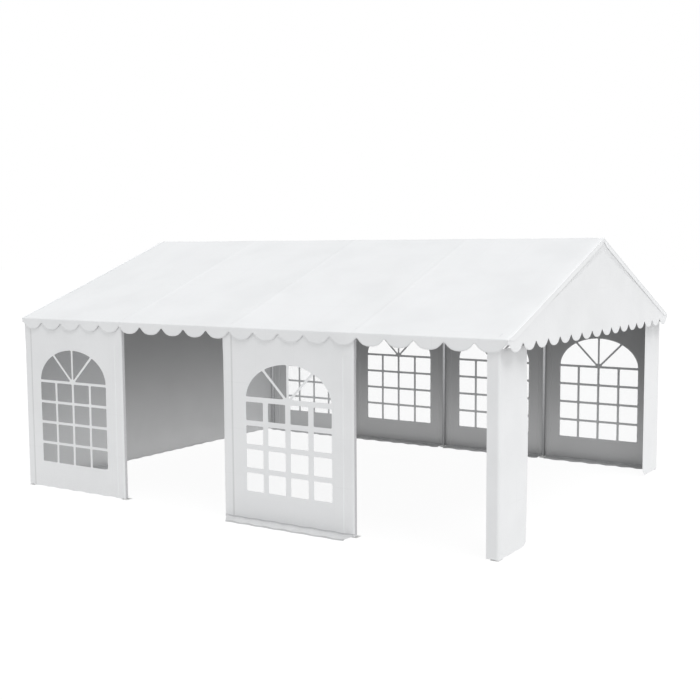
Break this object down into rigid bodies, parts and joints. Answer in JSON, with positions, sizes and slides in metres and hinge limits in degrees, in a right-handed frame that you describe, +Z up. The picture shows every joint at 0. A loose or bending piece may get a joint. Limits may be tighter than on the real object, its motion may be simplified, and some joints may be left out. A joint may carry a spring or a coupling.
{
  "type": "marquee tent",
  "caption": "White gabled party marquee on a steel tube frame, with a scalloped valance, arched window panels, open front doorways and one open gable end.",
  "frame": {"origin": "on the ground in the middle of the tent's footprint", "axes": "+X along the ridge towards the open gable end, +Y towards the closed long side, +Z up"},
  "size_m": [8.2, 6.1, 3.79],
  "materials": {
    "frame": "galvanised, satin",
    "canopy": "coated cloth, semi-matt, welded seams",
    "wall": "coated cloth, semi-matt",
    "window": "clear flexible film"
  },
  "bodies": {
    "root": {"post_front_1": "frame", "post_front_2": "frame", "post_front_3": "frame", "post_front_4": "frame", "post_front_5": "frame", "rafter_front_1": "frame", "rafter_front_2": "frame", "rafter_front_3": "frame", "rafter_front_4": "frame", "rafter_front_5": "frame", "front_eave_rail": "frame", "front_purlin": "frame", "post_back_1": "frame", "post_back_2": "frame", "post_back_3": "frame", "post_back_4": "frame", "post_back_5": "frame", "rafter_back_1": "frame", "rafter_back_2": "frame", "rafter_back_3": "frame", "rafter_back_4": "frame", "rafter_back_5": "frame", "back_eave_rail": "frame", "back_purlin": "frame", "ridge_rail": "frame", "roof_front": "canopy", "valance_front": "canopy", "roof_back": "canopy", "valance_back": "canopy", "gable_left": "canopy", "gable_right": "canopy", "wall_front_1": "wall", "window_front_1": "window", "wall_front_3": "wall", "window_front_3": "window", "wall_back_1": "wall", "window_back_1": "window", "wall_back_2": "wall", "window_back_2": "window", "wall_back_3": "wall", "window_back_3": "window", "wall_back_4": "wall", "window_back_4": "window", "end_wall_left": "wall", "corner_wall_front": "wall", "corner_wall_near": "wall", "corner_wall_far": "wall"}
  },
  "joints": []
}
